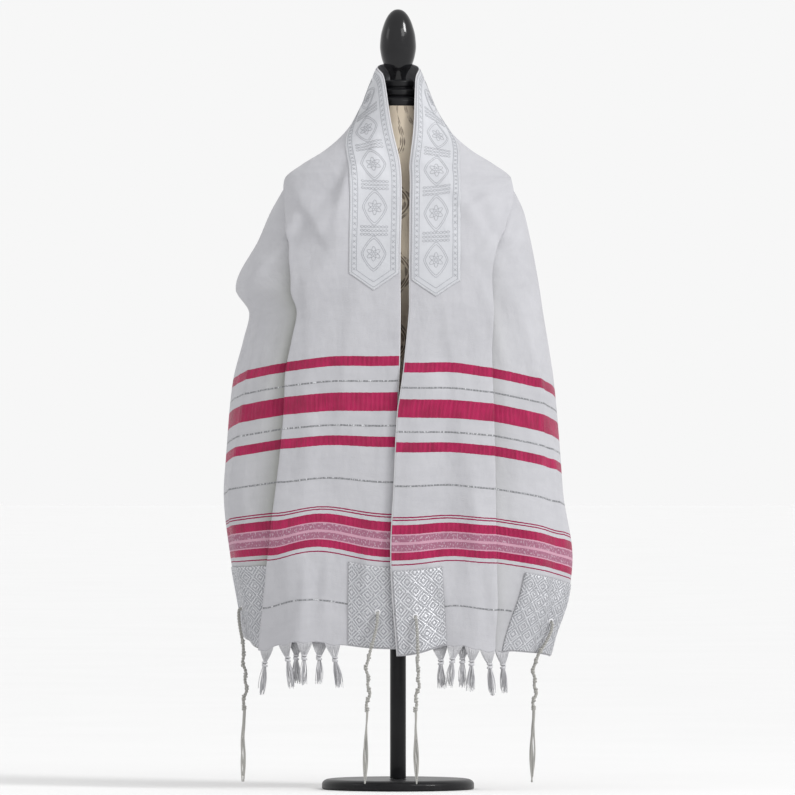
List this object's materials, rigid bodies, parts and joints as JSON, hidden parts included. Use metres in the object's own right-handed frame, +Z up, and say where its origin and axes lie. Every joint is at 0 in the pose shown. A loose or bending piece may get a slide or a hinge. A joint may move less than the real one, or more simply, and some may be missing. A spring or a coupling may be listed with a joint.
{
  "type": "tallit prayer shawl on a limbless dress form",
  "caption": "White prayer shawl with a satin neckband, corner patches, knotted fringe and corner cords, worn on a limbless dress form on a short stand.",
  "frame": {"origin": "middle of the base's flat underside, on the floor under the stand's pole", "axes": "+Z up along the pole, -Y the wearer's front, +X the picture's right, which is the wearer's left; left and right in node names are the picture's"},
  "size_m": [0.4814, 0.2393, 1.076],
  "materials": {
    "white_cloth": "fine plain weave, slightly sheer, with woven pink and silver cross stripes near the ends",
    "silver_white_satin": "bluish white satin with raised silver thread",
    "white_yarn": "plied matt yarn, knotted",
    "beige_form_cloth": "smooth linen cover drawn tight over the form",
    "black_lacquer": "gloss black lacquer"
  },
  "bodies": {
    "root": {"tallit_left_front": "white_cloth", "tallit_left_shoulder": "white_cloth", "tallit_back": "white_cloth", "tallit_right_shoulder": "white_cloth", "tallit_right_front": "white_cloth", "neckband": "silver_white_satin", "patch_left_inner": "silver_white_satin", "patch_left_outer": "silver_white_satin", "patch_right_inner": "silver_white_satin", "patch_right_outer": "silver_white_satin", "tassel_left_a": "white_yarn", "tassel_left_b": "white_yarn", "tassel_left_c": "white_yarn", "tassel_left_d": "white_yarn", "tassel_left_e": "white_yarn", "tassel_left_f": "white_yarn", "tassel_right_a": "white_yarn", "tassel_right_b": "white_yarn", "tassel_right_c": "white_yarn", "tassel_right_d": "white_yarn", "tassel_right_e": "white_yarn", "tassel_right_f": "white_yarn", "corner_cord_left_inner": "white_yarn", "corner_cord_left_outer": "white_yarn", "corner_cord_right_inner": "white_yarn", "corner_cord_right_outer": "white_yarn", "form_torso": "beige_form_cloth", "form_finial": "black_lacquer", "form_neck_cap": "black_lacquer", "form_pole": "black_lacquer", "form_base": "black_lacquer"}
  },
  "joints": []
}
